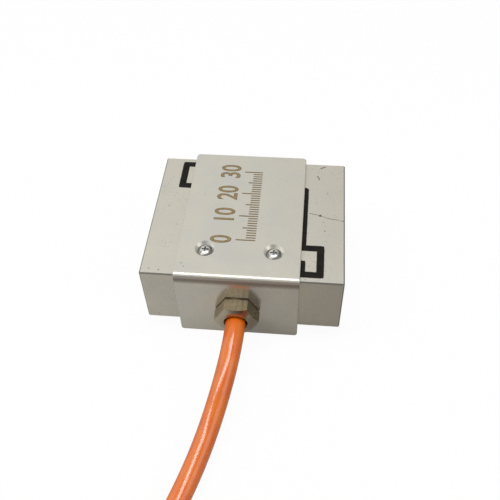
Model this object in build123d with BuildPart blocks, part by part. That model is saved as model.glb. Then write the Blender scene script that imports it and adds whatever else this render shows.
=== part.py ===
from build123d import *
import os
from math import degrees, pi, radians, tan

# An S type load cell. A steel block is cut by two slots into an S: an end bar, a middle beam and
# another end bar. The load pulls on a threaded hole in each end bar. The middle beam then shears, and
# four strain gauges on the thin web at its centre feel it.
# Millimetres. The load acts along X, +Z is up, and the origin is on the surface that the cell rests
# on, under the middle of the block. The cable leaves along -Y.

# Block
block_length = 61.0
block_width = 50.8
block_thickness = 22.4
block_edge = 0.4

# Slots that make the S, one width all along
slot_width = 2.1
slot_corner = 0.35
slot_end_share = 0.98  # of the half width, just short of a full round end
bar_thickness = 11.8
hinge_thickness = 11.8

# Overload stop: a tongue of the middle beam, held in a hook at the free end of each bar
lip_thickness = 1.9
tongue_length = 8.1
tongue_thickness = 3.45
neck_width = 3.95
finger_thickness = 3.15

# Threaded hole in each end bar, M12 drawn at the roots of its thread
load_thread_radius = 6.0
load_thread_chamfer = 0.8

# Gauge pockets on both sides of a thin web
pocket_radius = 10.0
web_thickness = 2.6
web_hole_radius = 1.0
web_hole_x = 2.5
web_hole_y = 7.0

# Strain gauges and the soft coating over them
gauge_length = 6.0
gauge_width = 3.6
gauge_thickness = 0.3
gauge_offset = 3.7
gauge_angle = 45.0
coating_thickness = 0.8

# Folded sheet covers
sheet = 1.2
cover_width = 37.4
cover_shift = -1.3
cover_gap = 0.1
plate_corner = 1.2
wall_corner = 1.0
rolled_edge = 0.25
fold_relief = 2.2

# Room under the block for the balance board
board_space = 3.2

# Balance board on a sticky pad
board_length = 19.0
board_width = 18.0
board_thickness = 1.0
board_near_y = 1.5
pad_thickness = 0.5
pad_margin = 0.8
chip_length = 3.2
chip_width = 1.6
chip_height = 0.6
chip_count = 4
chip_pitch = 4.0
chip_y = 15.0

# Countersunk cover screws, M2.5
screw_shank_radius = 1.25
screw_head_radius = 2.2
screw_dome_height = 0.6
screw_length = 6.0
screw_clearance = 0.05
screw_tip_chamfer = 0.3
countersink_angle = 45.0
screw_y = -15.5
front_screw_spacing = 20.9
rear_screw_spacing = 18.8
front_screw_sink = 0.8
recess_length = 2.3
recess_width = 0.6
recess_depth = 1.2
recess_taper = 8.0

# Pressed dimples that carry the rear cover's screws up to the block
dimple_floor_radius = 3.0

# Cable
cable_diameter = 6.2
cable_total_length = 2000.0
arc_share = 0.45  # of the shorter run beside a corner, which its arc takes up
core_diameter = 1.0
core_pitch = 1.1
core_clearance = 0.05
core_bend_radius = 3.0
core_drop_lower = 4.0
core_drop_upper = 6.2
gauge_wire_diameter = 0.5
gauge_wire_lift = 1.4
gauge_wire_bend = 0.5
gauge_wire_pitch = 0.8
gauge_wire_reach_x = 1.7
gauge_wire_reach_y = 2.0

# Gland: a hollow hexagon screw that presses a washer and a rubber bush round the cable
gland_height = 12.4
gland_thread_radius = 5.0
gland_hole_depth = 9.0
gland_across_flats = 12.0
gland_head_length = 5.0
gland_bore_clearance = 0.2
gland_mouth_chamfer = 0.5
gland_corner_chamfer = 1.1
gland_cone_slope = 1.7  # the cone runs this far inwards for each length along
gland_collar_radius = 5.6
gland_collar_thickness = 0.4
gland_clearance = 0.1
bush_length = 3.5
washer_thickness = 0.6
wire_hole_radius = 1.7

# Coil of the cable's put-away length, turns beside and on each other, bound by a tie
coil_left_x = -24.3
coil_y = -135.0
coil_mean_radius = 35.35
coil_rows = 3
coil_start = 180.0
tie_angle = 230.0
tie_width = 4.0
tie_thickness = 0.8

# Bare end of the cable, lying on the coil: a shrink sleeve, four cores and the braid's drain wire
sleeve_length = 20.0
sleeve_overlap = 10.0
sleeve_wall = 0.3
tail_length = 32.0
tail_core_diameter = 1.2
tail_pitch = 1.3
drain_diameter = 0.8

# Places worked out from the sizes above
half_length = block_length / 2
half_width = block_width / 2
block_bottom = sheet + board_space
block_top = block_bottom + block_thickness
block_middle = block_bottom + block_thickness / 2
web_bottom = block_middle - web_thickness / 2
web_top = block_middle + web_thickness / 2
cover_left = cover_shift - cover_width / 2
inner_bend = block_edge
outer_bend = inner_bend + sheet
near_wall_y = -half_width - sheet
far_wall_y = half_width + sheet
board_top = block_bottom - pad_thickness
board_bottom = board_top - board_thickness
cable_radius = cable_diameter / 2
gland_x = cover_shift
wire_z = web_bottom - coating_thickness - core_clearance - (core_pitch + core_diameter) / 2
gland_face_y = near_wall_y - gland_head_length
gland_floor_y = -half_width + gland_hole_depth
bush_y = gland_floor_y - bush_length
washer_y = bush_y - washer_thickness
front_screw_xs = (cover_shift - front_screw_spacing / 2, cover_shift + front_screw_spacing / 2)
rear_screw_xs = (cover_shift - rear_screw_spacing / 2, cover_shift + rear_screw_spacing / 2)

os.makedirs("parts", exist_ok=True)


def finish(builder, name):
    """Labels a finished piece and writes its STEP file."""
    builder.part.label = name
    export_step(builder.part, f"parts/{name}.step")


# Centre line of the right slot in plan. It opens at the near face, goes round the finger of the bar,
# round the tongue of the middle beam, and then straight along the bar to the hinge at the far side.
run_x = half_length - bar_thickness - slot_width / 2
mouth_x = run_x - slot_width - finger_thickness
hook_x = run_x + slot_width + tongue_thickness
lip_y = -half_width + lip_thickness + slot_width / 2
shoulder_y = lip_y + slot_width + tongue_length
finger_y = shoulder_y - slot_width - neck_width
slot_end_y = half_width - hinge_thickness - slot_width / 2
slot_points = [
    (mouth_x, -half_width - slot_width / 2),
    (mouth_x, finger_y),
    (run_x, finger_y),
    (run_x, lip_y),
    (hook_x, lip_y),
    (hook_x, shoulder_y),
    (run_x, shoulder_y),
    (run_x, slot_end_y),
]


def slot_outline(turn):
    """The slot's outline in plan: a rectangle along each run, joined, with a round inner end."""
    with BuildSketch(mode=Mode.PRIVATE) as outline:
        for (x0, y0), (x1, y1) in zip(slot_points, slot_points[1:]):
            with Locations(((x0 + x1) / 2, (y0 + y1) / 2)):
                Rectangle(abs(x1 - x0) + slot_width, abs(y1 - y0) + slot_width)
        ends = outline.vertices().group_by(Axis.Y)
        fillet(ends[-1], slot_width / 2 * slot_end_share)
        fillet([v for row in ends[1:-1] for v in row], slot_corner)
    return outline.sketch.rotate(Axis.Z, turn)


slot_outlines = {"right": slot_outline(0), "left": slot_outline(180)}

# Block blank: one bar of steel with a small chamfer all round
with BuildPart() as blank:
    with BuildSketch(Plane.XY.offset(block_bottom)):
        Rectangle(block_length, block_width)
    extrude(amount=block_thickness)
    chamfer(blank.edges(), block_edge)

# Spring element: the blank with its slots, pockets and holes
with BuildPart() as spring_element:
    add(blank.part)
    # the two slots go right through
    with BuildSketch(Plane.XY.offset(block_bottom)):
        add(slot_outlines["right"])
        add(slot_outlines["left"])
    extrude(amount=block_thickness, mode=Mode.SUBTRACT)
    # a pocket from each side leaves the thin web between them
    with BuildSketch(Plane.XY.offset(block_top)):
        Circle(pocket_radius)
    extrude(amount=web_top - block_top, mode=Mode.SUBTRACT)
    with BuildSketch(Plane.XY.offset(block_bottom)):
        Circle(pocket_radius)
    extrude(amount=web_bottom - block_bottom, mode=Mode.SUBTRACT)
    # the wires of the upper gauges pass the web here
    with BuildSketch(Plane.XY.offset(web_bottom)):
        with Locations((web_hole_x, web_hole_y)):
            Circle(web_hole_radius)
    extrude(amount=web_thickness, mode=Mode.SUBTRACT)
    # a threaded hole from each end face into the slot, chamfered at its mouth
    for side in (1, -1):
        end_face = Plane(origin=(side * half_length, 0, block_middle), z_dir=(side, 0, 0))
        with BuildSketch(end_face):
            Circle(load_thread_radius)
        extrude(amount=-bar_thickness, mode=Mode.SUBTRACT)
        with BuildSketch(end_face):
            Circle(load_thread_radius + load_thread_chamfer)
        extrude(amount=-load_thread_chamfer, taper=45, mode=Mode.SUBTRACT)
    # the gland's threaded hole from the near face, and a wire hole from its floor into the lower pocket
    near_face = Plane(origin=(gland_x, -half_width, gland_height), z_dir=(0, -1, 0))
    with BuildSketch(near_face):
        Circle(gland_thread_radius)
    extrude(amount=-gland_hole_depth, mode=Mode.SUBTRACT)
    with BuildSketch(Plane.XZ.offset(half_width)):
        with Locations((gland_x, wire_z)):
            Circle(wire_hole_radius)
    extrude(amount=-half_width, mode=Mode.SUBTRACT)
    # screw holes from the top and from below, with the countersink that the covers are pressed into
    for face_z, outward, spread, sink in (
        (block_top, 1, front_screw_xs, front_screw_sink),
        (block_bottom, -1, rear_screw_xs, 0),
    ):
        mouth = screw_head_radius + screw_clearance + sink - sheet
        for x in spread:
            with BuildSketch(Plane(origin=(x, screw_y, face_z), z_dir=(0, 0, outward))):
                Circle(screw_shank_radius)
            extrude(amount=-screw_length, mode=Mode.SUBTRACT)
            if mouth > screw_shank_radius:
                with BuildSketch(Plane(origin=(x, screw_y, face_z), z_dir=(0, 0, outward))):
                    Circle(mouth)
                extrude(amount=screw_shank_radius - mouth, taper=countersink_angle, mode=Mode.SUBTRACT)
finish(spring_element, "spring_element")

# Soft black sealant that fills each slot flush with the block
for side, outline in slot_outlines.items():
    with BuildPart() as slot_sealant:
        add(blank.part)
        with BuildSketch(Plane.XY.offset(block_bottom)):
            add(outline)
        extrude(amount=block_thickness, mode=Mode.INTERSECT)
    finish(slot_sealant, f"slot_sealant_{side}")

# Front cover: one sheet folded once, over the top of the block and down its near face
with BuildPart() as front_cover:
    with BuildSketch(Plane.YZ.offset(cover_left)) as profile:
        with BuildLine():
            Polyline(
                (near_wall_y, 0),
                (near_wall_y, block_top + sheet),
                (far_wall_y + cover_gap, block_top + sheet),
                (far_wall_y + cover_gap, block_top),
                (-half_width, block_top),
                (-half_width, 0),
                close=True,
            )
        make_face()
        fold = profile.vertices().sort_by_distance((near_wall_y, block_top + sheet))
        fillet(fold[0], outer_bend)
        inner = profile.vertices().sort_by_distance((-half_width, block_top))
        fillet(inner[0], inner_bend)
    extrude(amount=cover_width)
    fillet(front_cover.edges().filter_by(Axis.Z).group_by(Axis.Y)[-1], plate_corner)
    fillet(front_cover.edges().filter_by(Axis.Y).group_by(Axis.Z)[0], wall_corner)
    # punching rolls the edge over, all round the side that shows
    top_face = front_cover.faces().sort_by(Axis.Z)[-1]
    near_face = front_cover.faces().sort_by(Axis.Y)[0]
    fold_face = front_cover.faces().filter_by(lambda face: face.radius and abs(face.radius - outer_bend) < 1e-6)[0]
    shown_edges = top_face.edges() + near_face.edges() + fold_face.edges()
    fillet([edge for edge in shown_edges if shown_edges.count(edge) == 1], rolled_edge)
    with BuildSketch(Plane(origin=(gland_x, near_wall_y, gland_height), z_dir=(0, -1, 0))):
        Circle(gland_thread_radius + gland_clearance)
    extrude(amount=-sheet, mode=Mode.SUBTRACT)
    front_mouth = screw_head_radius + screw_clearance + front_screw_sink
    for x in front_screw_xs:
        with BuildSketch(Plane.XY.offset(block_top + sheet)):
            with Locations((x, screw_y)):
                Circle(front_mouth)
        extrude(amount=-sheet, taper=countersink_angle, mode=Mode.SUBTRACT)
finish(front_cover, "front_cover")

# Rear cover: a second folded sheet. Its base stands off the block on two low side flanges, which leaves
# room for the balance board, and its tall wall closes the far face under the front cover's lap.
with BuildPart() as rear_cover:
    with BuildSketch(Plane.YZ.offset(cover_left)) as profile:
        with BuildLine():
            Polyline(
                (-half_width, 0),
                (far_wall_y, 0),
                (far_wall_y, block_top - cover_gap),
                (half_width, block_top - cover_gap),
                (half_width, sheet),
                (-half_width, sheet),
                close=True,
            )
        make_face()
        fold = profile.vertices().sort_by_distance((far_wall_y, 0))
        fillet(fold[0], outer_bend)
        inner = profile.vertices().sort_by_distance((half_width, sheet))
        fillet(inner[0], inner_bend)
    extrude(amount=cover_width)
    # relief notches let the flanges fold beside the wall
    with BuildSketch(Plane.XY):
        for side in (-1, 1):
            with Locations((cover_shift + side * (cover_width - fold_relief) / 2, half_width)):
                Rectangle(fold_relief, 2 * fold_relief)
    extrude(amount=block_bottom + cover_gap, mode=Mode.SUBTRACT)
    # the low side flanges, folded up to the block
    flange_length = block_width - fold_relief
    for side in (-1, 1):
        outer_x = cover_shift + side * cover_width / 2
        with BuildSketch(Plane.XZ.offset(half_width)) as flange:
            with BuildLine():
                Polyline(
                    (outer_x - side * fold_relief, 0),
                    (outer_x, 0),
                    (outer_x, block_bottom),
                    (outer_x - side * sheet, block_bottom),
                    (outer_x - side * sheet, sheet),
                    (outer_x - side * fold_relief, sheet),
                    close=True,
                )
            make_face()
            inner = flange.vertices().sort_by_distance((outer_x - side * sheet, sheet))
            fillet(inner[0], inner_bend)
        extrude(amount=-flange_length)
    outer_folds = rear_cover.edges().filter_by(Axis.Y).group_by(Axis.Z)[0]
    fillet([outer_folds.sort_by(Axis.X)[0], outer_folds.sort_by(Axis.X)[-1]], outer_bend)
    # pressed dimples reach the block, and a screw sits in each
    dimple_mouth = dimple_floor_radius + board_space
    dimple_skin = sheet * (2**0.5 - 1)
    with BuildSketch(Plane.XY):
        with Locations(*[(x, screw_y) for x in rear_screw_xs]):
            Circle(dimple_mouth)
    extrude(amount=sheet, mode=Mode.SUBTRACT)
    for x in rear_screw_xs:
        dimple_axis = Plane(origin=(x, screw_y, 0), x_dir=(1, 0, 0), z_dir=(0, -1, 0))
        with BuildSketch(dimple_axis):
            with BuildLine():
                Polyline(
                    (0, board_space),
                    (dimple_floor_radius, board_space),
                    (dimple_mouth, 0),
                    (dimple_mouth + sheet, 0),
                    (dimple_mouth + sheet, sheet),
                    (dimple_mouth + dimple_skin, sheet),
                    (dimple_floor_radius + dimple_skin, block_bottom),
                    (0, block_bottom),
                    close=True,
                )
            make_face()
        revolve(axis=Axis((x, screw_y, 0), (0, 0, 1)))
        with BuildSketch(Plane(origin=(x, screw_y, board_space), z_dir=(0, 0, -1))):
            Circle(screw_head_radius + screw_clearance)
        extrude(amount=-sheet, taper=countersink_angle, mode=Mode.SUBTRACT)
        with BuildSketch(Plane.XY.offset(board_space)):
            with Locations((x, screw_y)):
                Circle(screw_shank_radius + screw_clearance)
        extrude(amount=sheet, mode=Mode.SUBTRACT)
finish(rear_cover, "rear_cover")

# Raised countersunk screws with a cross recess, two in each cover
dome_radius = (screw_head_radius**2 + screw_dome_height**2) / (2 * screw_dome_height)
screw_places = {
    "front_screw_left": (front_screw_xs[0], block_top + sheet - front_screw_sink, 1),
    "front_screw_right": (front_screw_xs[1], block_top + sheet - front_screw_sink, 1),
    "rear_screw_left": (rear_screw_xs[0], board_space, -1),
    "rear_screw_right": (rear_screw_xs[1], board_space, -1),
}
for name, (x, head_z, outward) in screw_places.items():
    head_face = Plane(origin=(x, screw_y, head_z), x_dir=(1, 0, 0), z_dir=(0, 0, outward))
    with BuildPart() as cover_screw:
        with BuildSketch(head_face):
            Circle(screw_head_radius)
        extrude(amount=screw_shank_radius - screw_head_radius, taper=countersink_angle)
        with BuildSketch(head_face):
            Circle(screw_shank_radius)
        extrude(amount=-screw_length)
        chamfer(cover_screw.edges().group_by(Axis.Z)[0 if outward > 0 else -1], screw_tip_chamfer)
        # the dome is a slice of a ball
        ball_z = head_z + outward * (screw_dome_height - dome_radius)
        with BuildSketch(Plane(origin=(x, screw_y, ball_z), x_dir=(1, 0, 0), z_dir=(0, -1, 0))):
            with Locations((dome_radius / 2, 0)):
                Rectangle(dome_radius, 2 * dome_radius)
            Circle(dome_radius, mode=Mode.INTERSECT)
            with Locations((dome_radius / 2, outward * (1.5 * dome_radius - screw_dome_height))):
                Rectangle(dome_radius, dome_radius, mode=Mode.INTERSECT)
        revolve(axis=Axis((x, screw_y, 0), (0, 0, 1)))
        with BuildSketch(head_face.offset(screw_dome_height)):
            Rectangle(recess_length, recess_width)
            Rectangle(recess_width, recess_length)
        extrude(amount=-recess_depth, taper=recess_taper, mode=Mode.SUBTRACT)
    finish(cover_screw, name)

# Strain gauges, one pair on each side of the web, each turned half way between X and Y
gauges = {}
for face, gauge_z in (("front", web_top), ("rear", web_bottom - gauge_thickness)):
    for name, side in (("left", -1), ("right", 1)):
        with BuildPart() as gauge:
            with BuildSketch(Plane.XY.offset(gauge_z)):
                with Locations(Location((side * gauge_offset, 0), side * gauge_angle)):
                    Rectangle(gauge_length, gauge_width)
            extrude(amount=gauge_thickness)
        gauges[face, name] = gauge.part
        finish(gauge, f"strain_gauge_{face}_{name}")

# Gauge wires. Each runs from its gauge's end to the balance board. The front pair rises, crosses to
# the hole in the web and drops through it, and the rear pair drops straight down.
wires = {}
for name, side in (("left", -1), ("right", 1)):
    start_x = side * (gauge_offset + gauge_wire_reach_x)
    start_y = gauge_wire_reach_y
    hole_x = web_hole_x + side * gauge_wire_pitch / 2
    routes = {
        "rear": [(start_x, start_y, board_top), (start_x, start_y, web_bottom - gauge_thickness)],
        "front": [
            (start_x, start_y, web_top + gauge_thickness),
            (start_x, start_y, web_top + gauge_wire_lift),
            (hole_x, web_hole_y, web_top + gauge_wire_lift),
            (hole_x, web_hole_y, board_top),
        ],
    }
    for face, route in routes.items():
        with BuildPart() as gauge_wire:
            with BuildLine() as wire_path:
                if len(route) > 2:
                    FilletPolyline(*route, radius=gauge_wire_bend)
                else:
                    Line(*route)
            with BuildSketch(Plane(origin=route[0], z_dir=(0, 0, 1))):
                Circle(gauge_wire_diameter / 2)
            sweep(path=wire_path.line)
        wires[face, name] = gauge_wire.part
        finish(gauge_wire, f"gauge_wire_{face}_{name}")

# Soft coating over the gauges on each side of the web
for face, coating_z in (("front", web_top), ("rear", web_bottom - coating_thickness)):
    with BuildPart() as gauge_coating:
        with BuildSketch(Plane.XY.offset(coating_z)):
            Circle(pocket_radius)
            with Locations((web_hole_x, web_hole_y)):
                Circle(web_hole_radius, mode=Mode.SUBTRACT)
        extrude(amount=coating_thickness)
        for name in ("left", "right"):
            add(gauges[face, name], mode=Mode.SUBTRACT)
            add(wires[face, name], mode=Mode.SUBTRACT)
    finish(gauge_coating, f"gauge_coating_{face}")

# Balance board, stuck to the underside of the block and reaching over the lower pocket
with BuildPart() as balance_board:
    with BuildSketch(Plane.XY.offset(board_bottom)):
        with Locations((0, board_near_y + board_length / 2)):
            RectangleRounded(board_width, board_length, plate_corner)
    extrude(amount=board_thickness)
finish(balance_board, "balance_board")

pad_near_y = pocket_radius + pad_margin
pad_length = board_near_y + board_length - pad_margin - pad_near_y
with BuildPart() as board_pad:
    with BuildSketch(Plane.XY.offset(board_top)):
        with Locations((0, pad_near_y + pad_length / 2)):
            Rectangle(board_width - 2 * pad_margin, pad_length)
    extrude(amount=pad_thickness)
finish(board_pad, "board_pad")

# Chip resistors in a row under the board trim the bridge
with BuildPart() as balance_resistors:
    with BuildSketch(Plane.XY.offset(board_bottom - chip_height)):
        with Locations((0, chip_y)):
            with GridLocations(chip_pitch, 0, chip_count, 1):
                Rectangle(chip_width, chip_length)
    extrude(amount=chip_height)
finish(balance_resistors, "balance_resistors")

# The four cores of the cable, bare of their sheath from the floor of the gland's hole to the board
core_places = {
    "core_red": (-1, -1, core_drop_lower),
    "core_black": (1, -1, core_drop_lower),
    "core_green": (-1, 1, core_drop_upper),
    "core_white": (1, 1, core_drop_upper),
}
for name, (across, above, drop_y) in core_places.items():
    x = gland_x + across * core_pitch / 2
    z = wire_z + above * core_pitch / 2
    with BuildPart() as core:
        with BuildLine() as core_path:
            FilletPolyline((x, gland_floor_y, z), (x, drop_y, z), (x, drop_y, board_top), radius=core_bend_radius)
        with BuildSketch(Plane(origin=(x, gland_floor_y, z), z_dir=(0, 1, 0))):
            Circle(core_diameter / 2)
        sweep(path=core_path.line)
    finish(core, name)

# Rubber bush at the bottom of the gland's hole, which grips the cable
with BuildPart() as gland_bush:
    with BuildSketch(Plane.XZ.offset(-gland_floor_y)):
        with Locations((gland_x, gland_height)):
            Circle(gland_thread_radius - gland_clearance / 2)
            Circle(cable_radius, mode=Mode.SUBTRACT)
    extrude(amount=bush_length)
finish(gland_bush, "gland_bush")

# Thin washer between the bush and the hollow screw
with BuildPart() as gland_washer:
    with BuildSketch(Plane.XZ.offset(-bush_y)):
        with Locations((gland_x, gland_height)):
            Circle(gland_thread_radius - gland_clearance)
            Circle(cable_radius + gland_bore_clearance, mode=Mode.SUBTRACT)
    extrude(amount=washer_thickness)
finish(gland_washer, "gland_washer")

# Hollow hexagon screw. Its outer end is turned to a cone that takes the corners off.
with BuildPart() as gland_screw:
    with BuildSketch(Plane.XZ.offset(-near_wall_y + gland_collar_thickness)):
        with Locations((gland_x, gland_height)):
            RegularPolygon(gland_across_flats / 2, 6, major_radius=False)
    extrude(amount=gland_head_length - gland_collar_thickness)
    corner_radius = gland_across_flats / 3**0.5
    with BuildSketch(Plane(origin=(gland_x, 0, gland_height), x_dir=(1, 0, 0), z_dir=(0, 0, 1))):
        with BuildLine():
            Polyline(
                (0, near_wall_y),
                (corner_radius, near_wall_y),
                (corner_radius, gland_face_y + gland_corner_chamfer),
                (corner_radius - gland_cone_slope * gland_corner_chamfer, gland_face_y),
                (0, gland_face_y),
                close=True,
            )
        make_face()
    revolve(axis=Axis((gland_x, 0, gland_height), (0, 1, 0)), mode=Mode.INTERSECT)
    # a round collar keeps the flats off the cover
    with BuildSketch(Plane.XZ.offset(-near_wall_y)):
        with Locations((gland_x, gland_height)):
            Circle(gland_collar_radius)
    extrude(amount=gland_collar_thickness)
    with BuildSketch(Plane.XZ.offset(-washer_y)):
        with Locations((gland_x, gland_height)):
            Circle(gland_thread_radius - gland_clearance / 2)
    extrude(amount=washer_y - near_wall_y)
    with BuildSketch(Plane.XZ.offset(-washer_y)):
        with Locations((gland_x, gland_height)):
            Circle(cable_radius + gland_bore_clearance)
    extrude(amount=washer_y - gland_face_y, mode=Mode.SUBTRACT)
    gland_mouth = cable_radius + gland_bore_clearance + gland_mouth_chamfer
    with BuildSketch(Plane(origin=(gland_x, gland_face_y, gland_height), z_dir=(0, -1, 0))):
        Circle(gland_mouth)
    extrude(amount=-gland_mouth_chamfer, taper=45, mode=Mode.SUBTRACT)
finish(gland_screw, "gland_screw")

# Route of the cable from the floor of the gland's hole: straight out of the gland, down to the surface
# that the cell rests on, and along it to the coil
cable_route = [
    (gland_x, gland_floor_y, gland_height),
    (gland_x, -28.0, gland_height),
    (-1.6, -40.0, 12.1),
    (-3.3, -51.5, 9.2),
    (-6.0, -63.0, 4.9),
    (-9.2, -75.0, cable_radius),
    (-13.4, -88.0, cable_radius),
    (-18.4, -102.0, cable_radius),
    (-22.6, -116.0, cable_radius),
    (-24.2, -130.3, cable_radius),
]


def arc_radii(route):
    """The arc at each corner of a route, as large as its two runs allow."""
    points = [Vector(*point) for point in route]
    radii = []
    for before, corner, after in zip(points, points[1:], points[2:]):
        first = corner - before
        second = after - corner
        half_turn = first.get_angle(second) / 2
        radii.append(arc_share * min(first.length, second.length) / tan(radians(half_turn)))
    return radii


cable_radii = arc_radii(cable_route)
print("cable arcs, mm:", [round(radius, 1) for radius in cable_radii])
with BuildPart() as cable_lead:
    with BuildLine() as cable_path:
        FilletPolyline(*cable_route, radius=cable_radii)
    with BuildSketch(Plane(origin=cable_route[0], z_dir=(0, -1, 0))):
        Circle(cable_radius)
    sweep(path=cable_path.line)
lead_length = sum(edge.length for edge in cable_path.edges())
section = pi * cable_radius**2
print("cable lead, mm:", round(lead_length, 1), "volume over section:", round(cable_lead.part.volume / section, 1))
finish(cable_lead, "cable_lead")

# The coil starts where the lead reaches its outer bottom turn, and is wound in layers, inwards,
# outwards and inwards again. The last turn stops where the cable's length runs out.
coil_side = coil_rows * cable_diameter
inner_turn_radius = coil_mean_radius - (coil_rows - 1) / 2 * cable_diameter
coil_x = coil_left_x + coil_mean_radius + (coil_rows - 1) / 2 * cable_diameter
turn_radii = [inner_turn_radius + row * cable_diameter for row in range(coil_rows)]
wound_length = coil_rows * sum(2 * pi * radius for radius in turn_radii) - 2 * pi * inner_turn_radius
last_arc = degrees((cable_total_length - lead_length - wound_length) / inner_turn_radius)
sleeve_start = coil_start + last_arc - degrees(sleeve_overlap / inner_turn_radius)
sleeve_arc = degrees(sleeve_length / inner_turn_radius)
tail_arc = degrees(tail_length / inner_turn_radius)
tail_room = degrees(tail_core_diameter / inner_turn_radius)
print("last turn of the coil, degrees:", round(last_arc, 1))
coil_axis = Axis((coil_x, coil_y, 0), (0, 0, 1))


def coil_plane(angle):
    """The upright plane through the coil's axis at an angle, with its X outwards and its Y up."""
    out = Vector(1, 0, 0).rotate(Axis.Z, angle)
    return Plane(origin=(coil_x, coil_y, 0), x_dir=out, z_dir=out.cross(Vector(0, 0, 1)))


# Tie: a flat band round the bundle of turns, which it lifts by its own thickness
tie_arc = degrees(tie_width / coil_mean_radius)
tie_plane = coil_plane(tie_angle - tie_arc / 2)
tie_side = coil_side + 2 * tie_thickness
bundle_middle = (coil_mean_radius, tie_side / 2)
with BuildPart() as cable_tie:
    with BuildSketch(tie_plane):
        with Locations(bundle_middle):
            RectangleRounded(tie_side, tie_side, cable_radius + tie_thickness)
            RectangleRounded(coil_side, coil_side, cable_radius, mode=Mode.SUBTRACT)
    revolve(axis=coil_axis, revolution_arc=tie_arc)
finish(cable_tie, "cable_tie")

# Coil: the outer shape of the bundle, with room for the cable's end on its inner top turn
sleeve_radius = cable_radius + sleeve_wall
shelf_z = coil_side - cable_diameter
with BuildPart() as cable_coil:
    with BuildSketch(coil_plane(0)):
        with Locations((coil_mean_radius, coil_side / 2)):
            RectangleRounded(coil_side, coil_side, cable_radius)
    revolve(axis=coil_axis)
    # the stretch inside the tie lies higher by the band's thickness
    with BuildSketch(tie_plane):
        with Locations(bundle_middle):
            Rectangle(tie_side, tie_side)
    revolve(axis=coil_axis, revolution_arc=tie_arc, mode=Mode.SUBTRACT)
    with BuildSketch(tie_plane):
        with Locations(bundle_middle):
            RectangleRounded(coil_side, coil_side, cable_radius)
    revolve(axis=coil_axis, revolution_arc=tie_arc)
    with BuildSketch(coil_plane(sleeve_start)):
        with Locations((inner_turn_radius - sleeve_wall, shelf_z + cable_diameter)):
            Rectangle(cable_diameter + 2 * sleeve_wall, 2 * cable_diameter)
    revolve(axis=coil_axis, revolution_arc=sleeve_arc + tail_arc + tail_room, mode=Mode.SUBTRACT)
    add(cable_lead.part, mode=Mode.SUBTRACT)
finish(cable_coil, "cable_coil")

# Shrink sleeve over the end of the sheath, bent along the coil
sleeve_turn_radius = inner_turn_radius - sleeve_wall
sleeve_z = shelf_z + sleeve_radius
with BuildPart() as end_sleeve:
    with BuildSketch(coil_plane(sleeve_start)):
        with Locations((sleeve_turn_radius, sleeve_z)):
            Circle(sleeve_radius)
    revolve(axis=coil_axis, revolution_arc=sleeve_arc)
finish(end_sleeve, "end_sleeve")

# Bare cores and drain wire. Each leaves the sleeve as one of a bundle, then comes down onto the turn
# below and lies beside the others.
tail_places = {
    "tail_red": (-0.5, -1.9, -0.5),
    "tail_black": (0.5, -1.9, 0.5),
    "tail_green": (-0.5, -0.9, -1.5),
    "tail_white": (0.5, -0.9, 1.5),
    "tail_drain": (0.4, 0.5, 2.3),
}
# how far along, how far sideways and how far down each point of a wire has come
tail_steps = [(0.0, 0.0, 0.0), (0.2, 0.35, 0.05), (0.42, 0.9, 0.4), (0.66, 1.0, 1.0), (1.0, 1.0, 1.0)]
sleeve_end = sleeve_start + sleeve_arc
for name, (across, above, resting) in tail_places.items():
    wire_radius = (drain_diameter if name == "tail_drain" else tail_core_diameter) / 2
    start_z = sleeve_z + tail_pitch * above
    rest_z = shelf_z + wire_radius
    points = []
    for along, sideways, down in tail_steps:
        reach = sleeve_turn_radius + tail_pitch * (across + (resting - across) * sideways)
        height = start_z + (rest_z - start_z) * down
        points.append(coil_plane(sleeve_end + along * tail_arc).from_local_coords((reach, height, 0)))
    with BuildPart() as tail:
        with BuildLine() as tail_path:
            FilletPolyline(*points, radius=arc_radii(points))
        with BuildSketch(Plane(origin=points[0], z_dir=-coil_plane(sleeve_end).z_dir)):
            Circle(wire_radius)
        sweep(path=tail_path.line)
    finish(tail, name)
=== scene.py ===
# %% [markdown]
# An S type load cell, dressed for a product picture.
#
# The packed CAD model is loaded as a fixed frame. It already holds the slotted block, the folded covers,
# the screws and the gland at their real size, so this script adds only what CAD leaves plain: the
# finish of each surface, the cable as one real length of something flexible, the threads in the two
# load holes, and what is etched on the front cover.

# %% Load the frame
from math import cos, pi, radians, sin

import bpy
import numpy as np
from mathutils import Matrix, Vector


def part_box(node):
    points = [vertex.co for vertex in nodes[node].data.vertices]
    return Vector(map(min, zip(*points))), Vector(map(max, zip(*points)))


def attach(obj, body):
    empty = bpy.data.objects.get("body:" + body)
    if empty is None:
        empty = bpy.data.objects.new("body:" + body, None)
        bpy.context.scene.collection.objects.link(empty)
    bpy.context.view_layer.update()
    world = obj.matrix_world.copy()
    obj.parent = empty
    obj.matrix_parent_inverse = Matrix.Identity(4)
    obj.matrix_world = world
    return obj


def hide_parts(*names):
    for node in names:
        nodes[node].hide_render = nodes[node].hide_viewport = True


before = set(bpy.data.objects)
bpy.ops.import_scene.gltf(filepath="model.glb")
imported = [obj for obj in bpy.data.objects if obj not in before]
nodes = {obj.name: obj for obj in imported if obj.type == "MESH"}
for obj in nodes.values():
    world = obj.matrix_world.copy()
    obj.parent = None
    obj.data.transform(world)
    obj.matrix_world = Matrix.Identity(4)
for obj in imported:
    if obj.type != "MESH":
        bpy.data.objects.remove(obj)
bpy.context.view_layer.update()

MM = 0.001

# %% [markdown]
# The camera. The photograph looks down on the cell from half way up, a few degrees round to the right,
# and the picture is turned a touch. A camera could be aimed with a constraint, but the three angles say
# more: how far round, how far up, and how far it is rolled. Its place and its lens were worked out
# from where the corners of the block lie in the photograph. Each new object has to be linked to the
# scene before it counts, and one small function does that from here on.

# %% Camera
camera_place = Vector((17.4, -141.3, 179.4)) * MM
camera_round = radians(6.99)
camera_up = radians(50.0)
camera_roll = radians(-2.21)
camera_lens = 47.19
camera_film = 36.0


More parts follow.
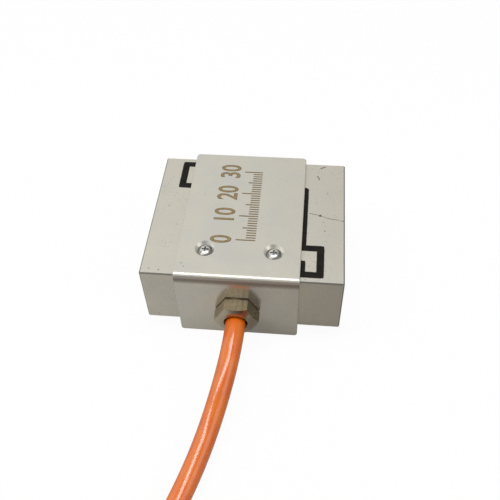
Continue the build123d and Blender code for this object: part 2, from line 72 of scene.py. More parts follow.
def added(name, data):
    """A new object of the scene that shows the data given."""
    made = bpy.data.objects.new(name, data)
    bpy.context.scene.collection.objects.link(made)
    return made


ahead = Vector((-sin(camera_round) * cos(camera_up), cos(camera_round) * cos(camera_up), -sin(camera_up)))
level = Vector((cos(camera_round), sin(camera_round), 0))
right = level * cos(camera_roll) + level.cross(ahead) * sin(camera_roll)
above = right.cross(ahead)

camera_data = bpy.data.cameras.new("camera")
camera_data.lens = camera_lens
camera_data.sensor_width = camera_film
camera_data.clip_start = 10 * MM
camera = added("camera", camera_data)
camera.matrix_world = Matrix.Translation(camera_place) @ Matrix((right, above, -ahead)).transposed().to_4x4()
bpy.context.scene.camera = camera
bpy.context.scene.view_settings.view_transform = "Standard"
print("camera to the floor under the block, mm:", round(camera_place.length / MM))

# %% [markdown]
# Shader maths. A finish is mostly arithmetic on a few noises, and a node tree of Math nodes is hard to
# read. The small class below wraps one socket, so that `1 - mask * 0.4` adds the nodes that work it
# out. Every other node comes from one method, which takes its type, then its settings, then its sockets.

# %% A field and a finish


class Field:
    """A number that changes over a surface. Arithmetic on it adds Math nodes to its finish."""

    def __init__(self, finish, socket):
        self.finish = finish
        self.socket = socket

    def math(self, operation, *values):
        return self.finish.node("ShaderNodeMath", {"operation": operation}, dict(enumerate(values)))

    def __add__(self, other):
        return self.math("ADD", self, other)

    __radd__ = __add__

    def __mul__(self, other):
        return self.math("MULTIPLY", self, other)

    __rmul__ = __mul__

    def __sub__(self, other):
        return self.math("SUBTRACT", self, other)

    def __rsub__(self, other):
        return self.math("SUBTRACT", other, self)

    def least(self, other):
        return self.math("MINIMUM", self, other)

    def most(self, other):
        return self.math("MAXIMUM", self, other)

    def between(self, low, high):
        """Rises smoothly from 0 at low to 1 at high, or falls where low is the larger."""
        ends = {1: low, 2: high, 3: 0.0, 4: 1.0} if low <= high else {1: high, 2: low, 3: 1.0, 4: 0.0}
        return self.finish.node("ShaderNodeMapRange", {"interpolation_type": "SMOOTHSTEP"}, {0: self, **ends})


class Finish:
    """The nodes of one material, or of the world. node() adds any node, surface() ends a material."""

    def __init__(self, name, world=None):
        self.owner = world or bpy.data.materials.new(name)
        self.owner.use_nodes = True
        self.tree = self.owner.node_tree
        self.tree.nodes.clear()
        self.place = self.node("ShaderNodeTexCoord", output="Object")

    def node(self, kind, settings=None, sockets=None, output=0):
        made = self.tree.nodes.new(kind)
        for setting, value in (settings or {}).items():
            setattr(made, setting, value)
        for socket, value in (sockets or {}).items():
            if isinstance(value, Field):
                self.tree.links.new(value.socket, made.inputs[socket])
            else:
                made.inputs[socket].default_value = value
        return Field(self, made.outputs[output]) if made.outputs else None

    def vector(self, operation, *values, output=0):
        settings = {"operation": operation}
        return self.node("ShaderNodeVectorMath", settings, dict(enumerate(values)), output)

    def distance(self, first, second):
        """How far two places are apart, in metres."""
        return self.vector("DISTANCE", first, second, output="Value")

    def dot(self, first, second):
        """The dot product of two vectors: how far the first reaches along a second one of length 1."""
        return self.vector("DOT_PRODUCT", first, second, output="Value")

    def scaled(self, vector, share):
        """A vector made longer or shorter by a share of its length."""
        return self.node("ShaderNodeVectorMath", {"operation": "SCALE"}, {0: vector, "Scale": share})

    def coordinate(self, vector, name):
        """One coordinate of a vector, by its name X, Y or Z."""
        return self.node("ShaderNodeSeparateXYZ", {}, {0: vector}, name)

    def axis(self, name):
        """One coordinate of the surface, in metres."""
        return self.coordinate(self.place, name)

    def noise(self, size, detail=2.0, roughness=0.5, stretch=(1, 1, 1), shift=0.0):
        """Cloudy noise from 0 to 1 whose patches are about size metres across, stretched along an axis."""
        stretched = self.vector("MULTIPLY", self.place, tuple(1 / s for s in stretch))
        moved = self.vector("ADD", stretched, (shift, shift, shift))
        sockets = {"Vector": moved, "Scale": 1 / size, "Detail": detail, "Roughness": roughness}
        return self.node("ShaderNodeTexNoise", {}, sockets)

    def mix(self, share, first, second):
        """A colour that goes from first to second as share goes from 0 to 1."""
        return self.node("ShaderNodeMix", {"data_type": "RGBA"}, {0: share, 6: first, 7: second}, 2)

    def bump(self, height, depth, normal=None):
        """A normal for a relief whose height runs from 0 to 1 over depth metres."""
        sockets = {"Height": height, "Distance": depth, "Strength": 1.0}
        if normal:
            sockets["Normal"] = normal
        return self.node("ShaderNodeBump", {}, sockets)

    def surface(self, **sockets):
        """Ends the tree in a Principled shader. A name's underscores stand for spaces."""
        named = {name.replace("_", " "): value for name, value in sockets.items()}
        shader = self.node("ShaderNodeBsdfPrincipled", {}, named)
        self.node("ShaderNodeOutputMaterial", {}, {"Surface": shader})
        return self.owner


print("a field can:", [name for name in vars(Field) if not name.startswith("_")])
print("a finish can:", [name for name in vars(Finish) if not name.startswith("_")])

# %% [markdown]
# Colours. A photograph stores colours as the eye takes them, from 0 to 255, and a shader works in linear
# light. The linear numbers could be written down, but nobody can picture them, so each colour below is
# written as it is seen, and one function turns it into what the shader needs.

# %% Colours


def seen(red, green, blue):
    """A colour as it is seen, in steps from 0 to 255, as the linear colour that a shader works with."""
    shares = [step / 255 for step in (red, green, blue)]
    linear = [s / 12.92 if s <= 0.04045 else ((s + 0.055) / 1.055) ** 2.4 for s in shares]
    return (*linear, 1.0)


white = seen(255, 255, 255)
print("mid grey as a linear colour:", [round(share, 3) for share in seen(128, 128, 128)[:3]])

# %% [markdown]
# The floor. The cell stands on pale paper under soft light. The background has to come out white, which
# more light would do, but the metal would then burn out. So the floor shows white to the camera's own
# rays, and what lights the object stays at a plain level. The floor keeps a share of its real shading,
# and that share carries the shadow. In front of the walls it has a painted shade on the right, darker and
# mirroring less, so the walls mirror it brighter on the left.

# %% Floor
floor_half = 3.0
floor_mesh = bpy.data.meshes.new("floor")
floor_corners = [(x * floor_half, y * floor_half, 0) for x, y in ((-1, -1), (1, -1), (1, 1), (-1, 1))]
floor_mesh.from_pydata(floor_corners, [], [(0, 1, 2, 3)])
floor = added("floor", floor_mesh)


def light_path(finish, kind):
    """1 for rays of one kind, 0 for all others."""
    return finish.node("ShaderNodeLightPath", output=f"Is {kind} Ray")


def direct_rays(finish):
    """1 for rays that come straight from the camera or through something clear, 0 for all others."""
    return light_path(finish, "Camera").most(light_path(finish, "Transmission"))


def floor_paper(direct_white, mirror_left, mirror_right):
    """Pale paper: a diffuse sheet, lifted to white for the camera, and less for mirrors.

    Beside the cell on the right and close in front it carries a painted shade: it is darker and mirrors
    least.
    """
    finish = Finish("floor_paper")
    grain = finish.noise(0.002, detail=3.0)
    # Painted shade: beside the cell on the right and close in front, the paper is darker and mirrors less.
    painted_shade_right = finish.axis("X").between(-0.03, 0.04) * finish.axis("Y").between(-0.085, -0.055)
    grey = finish.mix(grain, seen(182, 180, 174), seen(188, 186, 181))
    grey = finish.mix(painted_shade_right, grey, seen(172, 170, 164))
    direct = direct_rays(finish)
    paper = finish.node("ShaderNodeBsdfDiffuse", {}, {"Color": finish.mix(direct, grey, white)})
    glow = finish.node("ShaderNodeEmission", {}, {"Color": white, "Strength": 1.0})
    mirror_white = mirror_left + painted_shade_right * (mirror_right - mirror_left)
    share = direct * direct_white + light_path(finish, "Glossy") * mirror_white
    both = finish.node("ShaderNodeMixShader", {}, {0: share, 1: paper, 2: glow})
    finish.node("ShaderNodeOutputMaterial", {}, {"Surface": both})
    return finish.owner


floor_mesh.materials.append(floor_paper(direct_white=0.95, mirror_left=0.36, mirror_right=0.0))
print("floor side, m:", floor_half * 2)

# %% [markdown]
# The world. Bare metal looks like whatever is round it, and an even world would leave it flat. A picture
# of a studio could be wrapped round the scene, but a few smooth steps by direction are enough, and only
# mirror rays see them: dimmer low at the back, high at the back and to the right, and dark where the
# camera stands. That darkness draws a line along each edge that faces the camera. All dull surfaces get
# an even light from the world, and the camera sees it white.

# %% World


def studio_world(ambient):
    """White to the camera, an even ambient light for all that is dull, and a shaped one for mirrors."""
    studio = Finish("studio", bpy.data.worlds.new("studio"))
    ray = studio.node("ShaderNodeTexCoord", output="Generated")
    sideways = studio.coordinate(ray, "X")
    upwards = studio.coordinate(ray, "Z")
    camera_side = (0.0, -cos(radians(8)), sin(radians(8)))
    to_camera = studio.dot(ray, camera_side)
    dim_low = upwards.between(0.85, 0.50) * 0.12
    dim_right = sideways.between(-0.25, 0.45) * 0.34
    dim_high = upwards.between(0.73, 0.82) * 0.32
    dim_camera = to_camera.between(0.70, 0.95) * 0.70
    mirrored = 1.04 - dim_low - dim_right - dim_high - dim_camera
    direct = direct_rays(studio)
    strength = ambient + direct * (1 - ambient) + light_path(studio, "Glossy") * (mirrored - ambient)
    background = studio.node("ShaderNodeBackground", {}, {"Color": white, "Strength": strength})
    studio.node("ShaderNodeOutputWorld", {}, {"Surface": background})
    return studio.owner


bpy.context.scene.world = studio_world(ambient=0.32)
print("world nodes:", len(bpy.context.scene.world.node_tree.nodes))

# %% [markdown]
# Three area lamps do the rest. A long strip hangs over the cell, askew, so that its image runs down the
# glossy cable from its right side to its left and lies along the fold of the cover. A large weak softbox
# on each side fills the shadows. Small ones would light them as well, but each would draw its own streak
# on the cable. Lamps stay well away from the direction that the top faces mirror, because even a satin
# metal glows where it almost mirrors a lamp.

# %% Lamps
lamp_aim = Vector((0, 0, 14 * MM))


def softbox(name, place, along, sides, power):
    """A rectangular area lamp that faces the cell. Its second side lies as nearly as it can along a
    direction. Place, sides and power are in metres and watts.
    """
    data = bpy.data.lights.new(name, "AREA")
    data.shape = "RECTANGLE"
    data.size, data.size_y = sides
    data.energy = power
    back = (Vector(place) - lamp_aim).normalized()
    side = Vector(along).cross(back).normalized()
    turned = Matrix((side, back.cross(side), back)).transposed().to_4x4()
    added(name, data).matrix_world = Matrix.Translation(place) @ turned


softbox("left_softbox", (-0.52, 0.12, 0.30), (0, 1, 0), (0.50, 0.50), 0.35)
softbox("strip_lamp", (-0.11, -0.01, 0.60), (1, 0.36, 0), (0.13, 0.68), 2.3)
softbox("right_softbox", (0.44, -0.12, 0.38), (0, 1, 0), (0.40, 0.40), 0.6)

# %% [markdown]
# The cable's lead. It comes straight out of the gland, sinks to the floor within a few centimetres and
# runs out of the picture. Its route could be simulated, but so short a stretch is easier to follow, so
# these are points of the spline, listed one by one.

# %% Lead
cable_diameter = 6.2 * MM
lead_points = np.array(
    [
        (-1.3, -16.4, 12.4),
        (-1.3, -28.0, 12.4),
        (-1.6, -40.0, 12.1),
        (-3.3, -51.5, 9.2),
        (-6.0, -63.0, 4.9),
        (-9.2, -75.0, 3.1),
        (-13.4, -88.0, 3.1),
        (-18.4, -102.0, 3.1),
        (-22.6, -116.0, 3.1),
        (-24.2, -130.3, 3.1),
    ]
) * MM
print("lead, first point to last, mm:", round(float(np.linalg.norm(lead_points[-1] - lead_points[0])) / MM))

# %% [markdown]
# The cable's coil. A real cell is sold with about 2 m of cable, so the rest is wound up just outside the
# view, three turns wide and three high. Nine separate rings would look wound, but a cable is one piece,
# so each turn climbs into the next one, and a formula for the whole winding gives the points.

# %% Coil
coil_centre = np.array((17.25, -135.0)) * MM
coil_inner_radius = 29.15 * MM
coil_rows = (2, 1, 0, 0, 1, 2, 2, 1, 0)
coil_layers = (0, 0, 0, 1, 1, 1, 2, 2, 2)
# All angles are in degrees.
coil_turned = 360 * 8 + 129.9
coil_start = 180.0
crossing_start = 220.0
crossing_end = 355.0
crossing_bulge = 0.37
tie_angle = 230.0
tie_half = 6.0
tie_reach = 28.0
tie_lift = 0.8 * MM
sleeve_begins = coil_turned - 50
sleeve_reached = coil_turned - 20
sleeve_offset = 0.3 * MM
points_a_turn = 36


def smooth(low, high, value):
    """0 below low, 1 above high, and 3t^2 - 2t^3 between, where t is the share of the way."""
    share = np.clip((value - low) / (high - low), 0, 1)
    return share * share * (3 - 2 * share)


def coil_line(turned):
    """Centre line of the coil after some degrees of winding.

    Each turn is a circle of its row's radius at its layer's height. Near the end of a turn the radius,
    or at a layer's end the height, goes smoothly over to the next turn's. Where it climbs it also bulges
    away from the bundle by a share of the diameter, because there it passes round the turn beside it.
    Over the tie's band every turn is lifted by the band's thickness, and the last stretch moves to the
    middle of the sleeve.
    """
    turn = np.minimum(turned // 360, len(coil_rows) - 1).astype(int)
    after = np.minimum(turn + 1, len(coil_rows) - 1)
    share = smooth(crossing_start, crossing_end, turned - 360 * turn)
    rows, layers = np.array(coil_rows), np.array(coil_layers)
    climb = layers[after] - layers[turn]
    outwards = np.where(rows[turn] > 0, 1, -1)
    bulge = crossing_bulge * climb * outwards * np.sin(pi * share)
    row = rows[turn] + (rows[after] - rows[turn]) * share + bulge
    angle = np.radians(coil_start + turned)
    to_tie = np.abs((coil_start + turned - tie_angle + 180) % 360 - 180)
    in_sleeve = smooth(sleeve_begins, sleeve_reached, turned)
    radius = coil_inner_radius + row * cable_diameter - sleeve_offset * in_sleeve
    height = cable_diameter * (0.5 + layers[turn] + climb * share)
    height += tie_lift * (1 - smooth(tie_half, tie_reach, to_tie)) + sleeve_offset * in_sleeve
    flat = coil_centre[:, None] + radius * np.array((np.cos(angle), np.sin(angle))) / cos(pi / points_a_turn)
    return np.column_stack((flat[0], flat[1], height))


coil_steps = np.linspace(0, coil_turned, round(coil_turned / 360 * points_a_turn) + 1)
coil_points = coil_line(coil_steps)
coil_highest = coil_points[:, 2].max() / MM
print("coil turns:", round(coil_turned / 360, 1), "highest point, mm:", round(float(coil_highest), 1))

# %% [markdown]
# The cable itself. Lead and coil are the control points of one NURBS spline, which is smooth by itself,
# and the curve's round bevel gives it its thickness. A tube could be built ring by ring, but the curve
# does the same and keeps its length easy to measure. The order is set once the points are there, because
# a spline that gets it earlier stays at order 2, which is straight runs.

# %% Cable
cable_points = np.vstack((lead_points, coil_points))
cable_curve = bpy.data.curves.new("cable", "CURVE")
cable_curve.dimensions = "3D"
cable_curve.bevel_depth = cable_diameter / 2
cable_curve.bevel_resolution = 5
cable_curve.resolution_u = 7
cable_curve.use_fill_caps = True
spline = cable_curve.splines.new("NURBS")
spline.points.add(len(cable_points) - 1)
spline.points.foreach_set("co", np.column_stack((cable_points, np.ones(len(cable_points)))).ravel())
spline.order_u = 3
spline.use_endpoint_u = True
cable = added("cable", cable_curve)
print("cable control points:", len(cable_points), "spline length, m:", round(spline.calc_length(), 4))

# %% [markdown]
# Marks on metal. Scratches and specks could be painted into an image, but a distance needs none and is
# sharp at any size: a scratch is where the distance to a few short straight stretches is small, and a
# speck is where the distance to a point is. A noise shakes the place first, so no edge looks drawn.

# %% Distances and marks
shake_scale = 900.0
shake_reach = 0.6 * MM


def segment_distance(finish, place, start, end):
    """Distance from a place to the nearest point of a straight stretch, in metres."""
    run = Vector(end) - Vector(start)
    from_start = finish.vector("SUBTRACT", place, start)
    along = finish.dot(from_start, tuple(run)) * (1 / run.length_squared)
    nearest = finish.scaled(tuple(run), along.most(0.0).least(1.0))
    return finish.distance(from_start, nearest)


def marks_on(finish, scratches, specks):
    """A mask of scratches, each its points and a width, and of specks, each a point and a radius."""
    sockets = {"Vector": finish.place, "Scale": shake_scale, "Detail": 2.0}
    jitter = finish.node("ShaderNodeTexNoise", {}, sockets, "Color")
    centred = finish.vector("SUBTRACT", jitter, (0.5, 0.5, 0.5))
    place = finish.vector("ADD", finish.place, finish.scaled(centred, shake_reach))
    mask = None
    for points, width in scratches:
        for start, end in zip(points, points[1:]):
            line = segment_distance(finish, place, start, end).between(width, width * 0.4)
            mask = line if mask is None else mask.most(line)
    for point, radius in specks:
        speck = finish.distance(place, point).between(radius, radius * 0.5)
        mask = speck if mask is None else mask.most(speck)
    return mask


print("a mark's edge is shaken by up to, mm:", round(shake_reach / 2 / MM, 2))

# %% [markdown]
# Where wear and painted shade sit. Handling and making leave their traces in certain places, and a mask
# finds each of them, and each place of painted shade, from what the surface knows of itself. It could be
# painted on by hand, but would then have to be painted again after each change of size. Chamfers get a
# painted shade, darker than flat faces, and their normals lie along no axis. Sealant was wiped off beside
# the slots and left a thin dark edge, which follows the slots' centre lines. The cover's fold is rougher at
# its foot, where the sheet was stretched, and has a painted shade there, darker than the sheet round it,
# and the wall below it keeps the mill's polish.

# %% Places of wear and of painted shade
block_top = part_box("spring_element")[1].z
slot_half = 1.05 * MM


def bevels(finish):
    """1 on faces that look along none of the three axes, such as chamfers, and 0 on all square faces."""
    normal = finish.vector("ABSOLUTE", finish.node("ShaderNodeTexCoord", output="Normal"))
    x, y, z = [finish.coordinate(normal, name) for name in "XYZ"]
    return x.most(y).most(z).between(0.95, 0.80)


def smeared(finish, slots, reach):
    """1 where the slots' sealant has been wiped onto the metal beside them, fading out unevenly."""
    uneven = finish.noise(0.0016, detail=4.0, roughness=0.7, shift=11.0)
    nearest = None
    for line in slots:
        for start, end in zip(line, line[1:]):
            away = segment_distance(finish, finish.place, start, end)
            nearest = away if nearest is None else nearest.least(away)
    return (nearest - uneven * reach).between(slot_half + reach * 0.1, slot_half - reach * 0.25)


def fold_foot(finish, wall_y):
    """1 in a band along a folded wall, just below the block's top, and 0 above, below and behind it."""
    height = finish.axis("Z")
    rising = height.between(block_top - 0.0028, block_top - 0.0008)
    falling = height.between(block_top + 0.0004, block_top - 0.0002)
    return rising * falling * finish.axis("Y").between(wall_y + 0.0012, wall_y + 0.0008)


def below_fold(finish, wall_y):
    """1 on the outer face of a folded wall under its fold, and 0 elsewhere."""
    lower = finish.axis("Z").between(block_top - 0.0008, block_top - 0.0020)
    return finish.axis("Y").between(wall_y + 0.0004, wall_y) * lower


print("block top, mm:", round(block_top / MM, 2), "slot width, mm:", round(2 * slot_half / MM, 2))

# %% [markdown]
# Satin nickel. The block is ground flat and then plated, so its faces are even but not mirrors: soft
# clouds a few millimetres wide, a very fine grain, fine pits that come in patches, and here and there a
# scratch. One grey with one roughness would look like painted plastic. A metal shows its finish mostly
# through its roughness, so the noises drive that first, the colour only a little, and a bump of a few
# micrometres breaks up what it mirrors.

# %% Nickel
grain_tone = seen(150, 146, 136)
# The next two tones are painted shade, for a fold's foot and for chamfers.
fold_shade_tone = seen(92, 87, 76)
chamfer_shade_tone = seen(84, 80, 72)
smear_tone = seen(40, 38, 32)
pit_tone = seen(92, 84, 70)
mark_tone = seen(66, 58, 46)
smear_reach = 0.3 * MM


def nickel(name, warm, cool, rough, scratches=(), specks=(), slots=(), polished_wall=None):
    """Plated steel: clouded colour and roughness, fine grain, the marks that wear has left, and painted shade
    on chamfers and at a fold's foot.

    slots are the centre lines that sealant was wiped along, and polished_wall is the y of a folded wall.
    """
    finish = Finish(name)
    clouds = finish.noise(0.014, detail=3.0)
    patches = finish.noise(0.005, detail=4.0, roughness=0.6, shift=3.0)
    grain = finish.noise(0.0004, detail=2.0)
    brushed = finish.noise(0.00025, detail=2.0, stretch=(14, 1, 1))
    fine = grain.between(0.35, 0.65)
    shade = clouds.between(0.35, 0.7) * 0.7 + patches.between(0.3, 0.75) * 0.3
    colour = finish.mix(shade, warm, cool)
    colour = finish.mix(fine * 0.10, colour, grain_tone)
    roughness = rough + patches * 0.10 + fine * 0.05 - 0.06
    if polished_wall:
        foot = fold_foot(finish, polished_wall)
        # Painted shade: the foot of the fold is darker; it is also rougher.
        colour = finish.mix(foot * 0.6, colour, fold_shade_tone)
        roughness = roughness + foot * 0.25 - below_fold(finish, polished_wall) * 0.15
    if slots:
        pits = finish.noise(0.0005, detail=1.0, shift=17.0).between(0.66, 0.74)
        # Painted shade: chamfers are darker than flat faces.
        colour = finish.mix(bevels(finish) * 0.6, colour, chamfer_shade_tone)
        colour = finish.mix(smeared(finish, slots, smear_reach) * 0.8, colour, smear_tone)
        colour = finish.mix(pits * patches.between(0.48, 0.62) * 0.6, colour, pit_tone)
    if scratches or specks:
        marks = marks_on(finish, scratches, specks)
        colour = finish.mix(marks * 0.9, colour, mark_tone)
        roughness = roughness + marks * 0.2
    normal = finish.bump(grain * 0.5 + brushed * 0.5, 0.000012)
    normal = finish.bump(clouds, 0.00012, normal)
    return finish.surface(Base_Color=colour, Metallic=0.82, Roughness=roughness, Normal=normal)


print("sealant is smeared over, mm:", round(smear_reach / MM, 2))

# %% [markdown]
# The block's own marks. Its two slots are one line, run once as it is and once turned half round, as the
# slots themselves are. The few scratches and specks that catch the eye in the photograph are placed one
# by one. Smaller ones could be placed too, but the pits of the finish already stand for them.

# %% The block
slot_corners = [
    (12.4, -25.4),
    (12.4, -18.3),
    (17.65, -18.3),
    (17.65, -22.45),
    (23.2, -22.45),
    (23.2, -12.25),
    (17.65, -12.25),
    (17.65, 12.55),
]
slot_line = np.array(slot_corners) * MM
# Scratches are their points and a width, specks are x, y and a radius, all in metres.
block_scratches = [
    (((0.0193, 0.0023), (0.0227, 0.0015), (0.0258, 0.0004), (0.0302, -0.0004)), 0.00016),
    (((0.02245, 0.0232), (0.0238, 0.0240)), 0.00030),
    (((0.0214, 0.0194), (0.0221, 0.0178)), 0.00022),
]
block_specks = [
    (0.0227, 0.0015, 0.00056),
    (0.0238, -0.00125, 0.00022),
    (0.0243, -0.0050, 0.00026),
    (-0.0247, -0.0238, 0.00032),
    (-0.0277, -0.0233, 0.00024),
    (0.0245, -0.0025, 0.00016),
    (0.0256, -0.0068, 0.00018),
    (0.0249, -0.0092, 0.00014),
    (0.0216, 0.0212, 0.00015),
    (0.0196, -0.0152, 0.00018),
    (0.0209, -0.0174, 0.00014),
    (0.0199, -0.0192, 0.00020),
    (0.0213, -0.0203, 0.00013),
]


def line_at(height, points):
    """Points of a plane as points of space at one height."""
    return [(x, y, height) for x, y in points]


def specks_at(height, specks):
    """Rows of x, y and a radius as points of space at one height, each with its radius."""
    return [((x, y, height), radius) for x, y, radius in specks]


block_nickel = nickel(
    "nickel_block",
    seen(205, 200, 186),
    seen(199, 196, 185),
    0.36,
    scratches=[(line_at(block_top, points), width) for points, width in block_scratches],
    specks=specks_at(block_top, block_specks),
    slots=(line_at(block_top, slot_line), line_at(block_top, -slot_line)),
)
print("block finish nodes:", len(block_nickel.node_tree.nodes))

# %% [markdown]
# The covers. They are sheet metal with the same plating, a shade brighter and smoother than the ground
# block. A function of their own would repeat the block's, so they are the same finish with other numbers.
# The front one is folded down its near face, and the y of that wall places the wear and the painted shade of
# its fold.

# %% The covers
near_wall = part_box("front_cover")[0].y
cover_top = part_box("front_cover")[1].z
cover_specks = [
    (-0.0180, -0.0215, 0.00026),
    (-0.0172, -0.0228, 0.00020),
    (-0.0148, 0.0074, 0.00018),
    (0.0112, 0.0150, 0.00016),
]
cover_nickel = nickel(
    "cover_sheet",
    seen(209, 204, 190),
    seen(200, 199, 192),
    0.33,
    specks=specks_at(cover_top, cover_specks),
    polished_wall=near_wall,
)
print("near wall, mm:", round(near_wall / MM, 2), "cover top, mm:", round(cover_top / MM, 2))

# %% [markdown]
# The small metal pieces. The cover screws are bright plated steel with a painted shade round their rims,
# which is a ring at a distance from each screw's axis. The gland is nickel over brass, and where hands and
# spanners have rubbed it the brass shows through, so its colour leans to olive, in streaks along the bar.
# Its end face was turned last and stayed bright. The flat that faces +X and the right half of the end face
# carry a painted shade. A function for each piece would say much the same again and again, so one has it
# all, and each piece asks for its own.

# %% Turned metal
# Tones of painted shade: a screw's rim, the gland's flat that faces +X, and the right half of its end face.
rim_shade_tone = seen(70, 68, 62)
right_flank_shade_tone = seen(92, 84, 66)
end_shade = seen(104, 97, 80)
rim_shade_starts = 1.1 * MM
rim_shade_full = 1.7 * MM


def turned_metal(name, bright, dull, rough, worn=None, end_face=None, rim_of=()):
    """Turned and plated: clouds of tarnish, and where they are given, worn streaks, a bright end face
    towards -Y with painted shade on its right half and on the flat facing +X, and a ring of painted shade
    round the pieces named in rim_of.
    """
    finish = Finish(name)
    tarnish = finish.noise(0.003, detail=4.0, roughness=0.65)
    grain = finish.noise(0.0003, detail=2.0)
    colour = finish.mix(tarnish.between(0.35, 0.7), bright, dull)
    roughness = rough + tarnish * 0.15 + grain * 0.05 - 0.08
    if worn:
        streaks = finish.noise(0.0007, detail=3.0, stretch=(1, 9, 1), shift=7.0).between(0.42, 0.68)
        colour = finish.mix(streaks * 0.6, colour, worn)
    if rim_of:
        flat = finish.vector("MULTIPLY", finish.place, (1, 1, 0))
        middles = [(low + high) / 2 for low, high in map(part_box, rim_of)]
        away = [finish.distance(flat, (middle.x, middle.y, 0)) for middle in middles]
        # Painted shade: a screw is darker in a ring at a distance from its axis.
        rim_shade = away[0].least(away[1]).between(rim_shade_starts, rim_shade_full)
        colour = finish.mix(rim_shade * 0.8, colour, rim_shade_tone)
        roughness = roughness + rim_shade * 0.1
    if end_face:
        facing = finish.node("ShaderNodeTexCoord", output="Normal")
        turned = finish.dot(facing, (0, -1, 0)).between(0.40, 0.70)
        # Painted shade: the flat that faces +X and the right half of the end face are darker.
        right_flank_shade = finish.coordinate(facing, "X").between(0.60, 0.85)
        right_half = finish.axis("X").between(0.0, 0.004)
        colour = finish.mix(right_flank_shade * 0.55, colour, right_flank_shade_tone)
        colour = finish.mix(turned, colour, end_face)
        colour = finish.mix(turned * right_half * 0.6, colour, end_shade)
        roughness = roughness - turned * 0.08
    normal = finish.bump(grain * 0.4 + tarnish * 0.6, 0.00002)
    return finish.surface(Base_Color=colour, Metallic=0.92, Roughness=roughness, Normal=normal)


# A screw is darkened by painted shade from this radius out.
print("a screw's rim is dirty from, mm:", round(rim_shade_full / MM, 1))

# %% [markdown]
# The turned pieces, and the drain wire, whose tin looks much the same. The two pairs of screws have one
# plating, but the painted shade on a rim is measured from the screws' own axes, so each pair has a material
# of its own. One material could measure from all four, but it would have more nodes for the same look.

# %% Screws, gland, drain wire and washer
plated_steel = (seen(226, 226, 222), seen(186, 186, 182), 0.20)
front_screws = ("front_screw_left", "front_screw_right")
rear_screws = ("rear_screw_left", "rear_screw_right")
screw_steel = turned_metal("screw_steel", *plated_steel, rim_of=front_screws)
screw_steel_rear = turned_metal("screw_steel_rear", *plated_steel, rim_of=rear_screws)
gland_metal = turned_metal(
    "gland_metal",
    seen(190, 176, 149),
    seen(162, 148, 120),
    0.26,
    worn=seen(150, 124, 84),
    end_face=seen(174, 165, 145),
)
drain_tin = turned_metal("drain_wire", seen(205, 204, 200), seen(170, 168, 160), 0.30)
washer_brass = turned_metal("washer_brass", seen(212, 184, 112), seen(178, 148, 84), 0.30)
turned_finishes = (screw_steel, screw_steel_rear, gland_metal, drain_tin, washer_brass)
print("turned finishes:", [finish.name for finish in turned_finishes])

# %% [markdown]
# Rubber, plastic and what is sealed inside. None of these is one flat colour: each gets two close tones
# from a noise at its own scale, a roughness that follows it, and a little relief. A function for each of
# them could add more, but they are small or hidden, so they share one and differ by a row of a table.

# %% Soft and sealed finishes


def mottled(name, first, second, size, rough, relief, sheen=0.5):
    """Two close tones from a cloudy noise, with the same noise in the roughness and a fine relief."""
    finish = Finish(name)
    clouds = finish.noise(size, detail=4.0, roughness=0.6)
    grain = finish.noise(size / 9, detail=2.0, shift=5.0)
    colour = finish.mix(clouds.between(0.3, 0.7), seen(*first), seen(*second))
    normal = finish.bump(clouds * 0.5 + grain * 0.5, relief)
    roughness = rough + clouds * 0.12 - 0.06
    return finish.surface(Base_Color=colour, Roughness=roughness, Normal=normal, Specular_IOR_Level=sheen)


# The two tones, then the size of the clouds in metres, the roughness, and the relief in metres.
soft_rows = {
    "cable_tie": ((28, 28, 30), (40, 40, 42), 0.002, 0.42, 0.00002),
    "shrink_sleeve": ((24, 24, 26), (36, 36, 38), 0.003, 0.38, 0.00008),
    "core_red": ((190, 36, 32), (204, 52, 44), 0.002, 0.35, 0.00002),
    "core_black": ((24, 24, 26), (38, 38, 40), 0.002, 0.35, 0.00002),
    "core_green": ((28, 120, 60), (44, 136, 74), 0.002, 0.35, 0.00002),
    "core_white": ((226, 224, 216), (238, 236, 230), 0.002, 0.35, 0.00002),
    "gauge_foil": ((190, 128, 48), (206, 146, 66), 0.0008, 0.35, 0.00001),
    "gauge_wire": ((168, 84, 44), (186, 102, 58), 0.0006, 0.30, 0.00001),
    "gauge_coating": ((196, 190, 170), (212, 206, 188), 0.003, 0.40, 0.00006),
    "board": ((24, 92, 58), (34, 108, 68), 0.0015, 0.40, 0.00002),
    "board_pad": ((220, 218, 208), (234, 232, 224), 0.0008, 0.75, 0.00010),
    "resistor": ((30, 30, 32), (52, 52, 54), 0.0005, 0.45, 0.00001),
    "bush_rubber": ((22, 22, 22), (36, 36, 35), 0.0015, 0.65, 0.00006),
}
soft = {name: mottled(name, *row) for name, row in soft_rows.items()}
sealant = mottled("slot_sealant", (14, 14, 11), (32, 30, 25), 0.0016, 0.75, 0.00012, sheen=0.15)
print("soft finishes:", [finish.name for finish in (*soft.values(), sealant)])

# %% [markdown]
# The cable's jacket is extruded plastic and the glossiest thing here. Its gloss could be a coat over the
# colour, but a bump on the base doesn't move a coat's highlight, so the base itself is glossy, and a slow
# wave in it lets the lamp's image waver.

# %% Jacket of the cable


def jacket(name, first, second):
    """Extruded plastic, glossy and a little wavy along its length, so that a light on it wavers."""
    finish = Finish(name)
    clouds = finish.noise(0.006, detail=3.0)
    waves = finish.noise(0.012, detail=0.0, shift=9.0)
    colour = finish.mix(clouds.between(0.3, 0.7), first, second)
    normal = finish.bump(waves, 0.0012)
    roughness = 0.17 + clouds * 0.06
    return finish.surface(Base_Color=colour, Roughness=roughness, Specular_IOR_Level=0.8, Normal=normal)


sheath = jacket("cable_sheath", seen(226, 104, 10), seen(236, 120, 16))
print("jacket nodes:", len(sheath.node_tree.nodes))

# %% [markdown]
# Each CAD node keeps its shape and gets its finish by name. A table from the start of a node's name to
# its finish is easier to check than forty assignments, and it fails loudly if a node has none.

